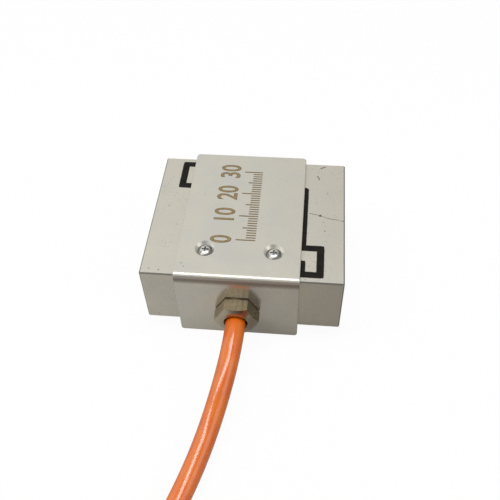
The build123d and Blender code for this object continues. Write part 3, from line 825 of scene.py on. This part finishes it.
# %% Finishes on the CAD nodes
finish_of = {
    "spring_element": block_nickel,
    "front_cover": cover_nickel,
    "rear_cover": cover_nickel,
    "front_screw": screw_steel,
    "rear_screw": screw_steel_rear,
    "slot_sealant": sealant,
    "strain_gauge": soft["gauge_foil"],
    "gauge_wire": soft["gauge_wire"],
    "gauge_coating": soft["gauge_coating"],
    "balance_board": soft["board"],
    "board_pad": soft["board_pad"],
    "balance_resistors": soft["resistor"],
    "gland_screw": gland_metal,
    "gland_washer": washer_brass,
    "gland_bush": soft["bush_rubber"],
    "cable_lead": sheath,
    "cable_coil": sheath,
    "cable_tie": soft["cable_tie"],
    "end_sleeve": soft["shrink_sleeve"],
    "tail_drain": drain_tin,
}
for colour_name in ("red", "black", "green", "white"):
    finish_of[f"core_{colour_name}"] = soft[f"core_{colour_name}"]
    finish_of[f"tail_{colour_name}"] = soft[f"core_{colour_name}"]
for name, node in nodes.items():
    finish = next(finish_of[start] for start in finish_of if name.startswith(start))
    node.data.materials.clear()
    node.data.materials.append(finish)
cable_curve.materials.append(sheath)
print("finishes in use:", len(set(finish_of.values())))

# %% [markdown]
# The threads in the load holes. CAD drills each hole to the roots of its M12 thread. A bump could hint at
# the thread, but it would leave the wall as smooth as it is in the exported mesh, so a ridge wound on the
# wall makes it: a helix with a flat crest and flanks at about 30 degrees to the crest's normal. The ridge
# is one closed strip, which dies away at both ends.

# %% Thread ridge
thread_pitch = 1.75 * MM
thread_root = 6.0 * MM
thread_crest = 5.05 * MM
thread_sink = 0.03 * MM
thread_mouth = 29.2 * MM
thread_end = 19.6 * MM
section_along = np.array((-7 / 16, -1 / 8, 1 / 8, 7 / 16)) * thread_pitch
section_height = np.array((0, 1, 1, 0))
steps_a_turn = 48
fade_turns = 0.6
least_grown = 0.02


def thread_ridge(name, side, first_x, last_x, axis_z):
    """A ridge wound on the wall of a hole along X.

    The section is a trapezium: its foot, seven eighths of the pitch wide, is sunk a little into the
    wall, and its top, a quarter of the pitch wide, is at the crest radius. The winding angle a carries
    it along: x = first_x - side * pitch * a / 2pi, and y, z turn with a.
    """
    turns = abs(last_x - first_x) / thread_pitch
    a = np.linspace(0, 2 * pi * turns, round(turns * steps_a_turn))
    fade = fade_turns * 2 * pi
    grown = least_grown + (1 - least_grown) * smooth(0, fade, a) * smooth(0, fade, a[-1] - a)
    foot = thread_root + thread_sink
    x = first_x - side * (thread_pitch * a[:, None] / (2 * pi) + section_along[None, :])
    r = foot - section_height[None, :] * (foot - thread_crest) * grown[:, None]
    y = r * np.cos(a)[:, None]
    z = r * np.sin(a)[:, None] + axis_z
    count = len(a)
    ring = np.arange(4)
    after = (ring + 1) % 4
    start = (np.arange(count - 1) * 4)[:, None]
    quads = np.stack((start + ring, start + after, start + 4 + after, start + 4 + ring), axis=-1)
    last = 4 * count
    faces = quads.reshape(-1, 4).tolist() + [[3, 2, 1, 0], [last - 4, last - 3, last - 2, last - 1]]
    if side > 0:
        faces = [face[::-1] for face in faces]
    mesh = bpy.data.meshes.new(name)
    mesh.from_pydata(np.stack((x, y, z), axis=-1).reshape(-1, 3).tolist(), [], faces)
    mesh.materials.append(block_nickel)
    piece = added(name, mesh)
    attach(piece, "root")
    print(name, "turns:", round(turns, 1), "triangles:", len(faces) * 2)
    return piece


print("ridge height, mm:", round((thread_root - thread_crest) / MM, 2))

# %% [markdown]
# One ridge goes into each end, and the two mirror each other. So only the left one is a right-hand thread,
# as both are on a real cell. For that the winding angle of the right one would have to run the other way.
#
# Faces that point inwards look right in a render but are wrong in an exported mesh. Blender could
# recalculate them, but a number is a better check: the signed volume of a closed mesh is positive when
# its faces point outwards.

# %% Load threads


def volume_of(mesh):
    """Signed volume of a closed mesh: a sixth of each triangle's triple product, added up."""
    mesh.calc_loop_triangles()
    places = np.zeros(len(mesh.vertices) * 3)
    mesh.vertices.foreach_get("co", places)
    corners = np.zeros(len(mesh.loop_triangles) * 3, int)
    mesh.loop_triangles.foreach_get("vertices", corners)
    a, b, c = places.reshape(-1, 3)[corners.reshape(-1, 3)].transpose(1, 0, 2)
    return float(np.einsum("ij,ij->i", a, np.cross(b, c)).sum() / 6)


block_low, block_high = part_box("spring_element")
block_middle = (block_low.z + block_high.z) / 2
for side, ridge_name in ((1, "load_thread_right"), (-1, "load_thread_left")):
    ridge = thread_ridge(ridge_name, side, side * thread_mouth, side * thread_end, block_middle)
    print(ridge.name, "volume, mm3:", round(volume_of(ridge.data) / MM**3, 1))

# %% [markdown]
# What is etched on the front cover: a plain millimetre scale with its numbers. A laser has burnt it tan,
# with a darker rim where the beam turned. A mark could be painted by a shader, but a thin mesh keeps its
# edge at any distance: each mark is a dark slab with a slightly smaller, paler slab on top.

# %% Etched finishes
hatch_rate = 21000.0


def etched_finish(name, first, second):
    """Burnt metal: two close tones, hatched along the beam's way, dull and a little rough."""
    finish = Finish(name)
    across = finish.axis("X") * hatch_rate
    hatch = across.math("SINE", across)
    soot = finish.noise(0.0009, detail=4.0, roughness=0.7)
    colour = finish.mix(soot.between(0.3, 0.7) * 0.8 + hatch * 0.1 + 0.1, first, second)
    normal = finish.bump(soot, 0.00003)
    return finish.surface(Base_Color=colour, Metallic=0.4, Roughness=0.55 + soot * 0.1, Normal=normal)


etched_rim = etched_finish("etched_rim", seen(80, 65, 42), seen(104, 87, 60))
etched_fill = etched_finish("etched_fill", seen(128, 108, 72), seen(158, 138, 99))
print("hatch lines are apart by, mm:", round(2 * pi / hatch_rate / MM, 2))

# %% [markdown]
# The outlines of the marks. Blender's text object knows the shapes of numbers, so each number is written
# with it, made a mesh and read back as points and faces. Drawing the digits by hand would be long, and
# they would look less even. A tick is a plain slab of eight points.

# %% Numbers and ticks
number_height = 6.3 * MM
digit_share = 0.70
slab_half = 0.004 * MM


def number_outline(text, grown):
    """Vertices and faces of a number lying in the XY plane, made fatter by grown metres, as a slab."""
    letters = bpy.data.curves.new("number", "FONT")
    letters.body = text
    letters.size = number_height / digit_share
    letters.align_x = "CENTER"
    letters.offset = grown
    letters.extrude = slab_half
    holder = added("number", letters)
    evaluated = holder.evaluated_get(bpy.context.evaluated_depsgraph_get())
    mesh = bpy.data.meshes.new_from_object(evaluated)
    points = np.array([vertex.co for vertex in mesh.vertices])
    faces = [list(face.vertices) for face in mesh.polygons]
    bpy.data.objects.remove(holder)
    bpy.data.meshes.remove(mesh)
    return points, faces


def tick_outline(length, width):
    """Vertices and faces of a straight mark in the XY plane, its foot at the origin."""
    half = width / 2
    corners = ((-half, 0), (half, 0), (half, length), (-half, length))
    points = [(x, y, z) for z in (-slab_half, slab_half) for x, y in corners]
    faces = [[3, 2, 1, 0], [4, 5, 6, 7], [0, 1, 5, 4], [1, 2, 6, 5], [2, 3, 7, 6], [3, 0, 4, 7]]
    return np.array(points), faces


print("letter size, mm:", round(number_height / digit_share / MM, 1))

# %% [markdown]
# The scale is put together from these outlines in one mesh, with one material slot for the rims and one
# for the fills. Seventy separate objects would render the same, but one piece is easier to move and to
# reuse. Each mark is there twice: wide and low for the rim, narrow and a little higher for the fill.

# %% Etched scale
scale_steps = 30
scale_start = -11.4 * MM
number_line = -4.4 * MM
number_squeeze = 0.72
tick_line = 3.2 * MM
tick_lengths = {10: 6.0 * MM, 5: 4.4 * MM, 1: 3.0 * MM}
tick_width = 0.44 * MM
fill_width = 0.20 * MM
fill_inset = 0.05 * MM
rim = 0.16 * MM
rim_lift = 0.010 * MM
fill_lift = 0.018 * MM


def etched_scale():
    """Every mark of the scale in one mesh. Text x runs along the cell's +Y, and text y along its -X."""
    points, faces, slots = [], [], []

    def stamp(outline, line_x, along_y, lift, slot, squeeze=1.0):
        """Lays an outline on the cover with its foot on the line at line_x, lifted and squeezed."""
        shape, shape_faces = outline
        start = sum(len(p) for p in points)
        x = line_x - shape[:, 1]
        y = along_y + shape[:, 0] * squeeze
        points.append(np.column_stack((x, y, cover_top + lift + shape[:, 2])))
        faces.extend([[start + corner for corner in face] for face in shape_faces])
        slots.extend([slot] * len(shape_faces))

    for step in range(scale_steps + 1):
        along = scale_start + step * MM
        length = next(tick_lengths[every] for every in tick_lengths if step % every == 0)
        stamp(tick_outline(length, tick_width), tick_line, along, rim_lift, 0)
        fill = tick_outline(length - 2 * fill_inset, fill_width)
        stamp(fill, tick_line - fill_inset, along, fill_lift, 1)
    for step in range(0, scale_steps + 1, 10):
        along = scale_start + step * MM
        for grown, lift, slot in ((rim, rim_lift, 0), (0.0, fill_lift, 1)):
            stamp(number_outline(str(step), grown), number_line, along, lift, slot, number_squeeze)
    mesh = bpy.data.meshes.new("etched_scale")
    mesh.from_pydata(np.vstack(points).tolist(), [], faces)
    mesh.materials.append(etched_rim)
    mesh.materials.append(etched_fill)
    mesh.polygons.foreach_set("material_index", slots)
    return added("etched_scale", mesh)


scale_marks = etched_scale()
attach(scale_marks, "root")
print("etched scale faces:", len(scale_marks.data.polygons))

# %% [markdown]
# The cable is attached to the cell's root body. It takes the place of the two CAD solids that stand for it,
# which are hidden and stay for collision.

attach(cable, "root")
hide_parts("cable_lead", "cable_coil")

# %% [markdown]
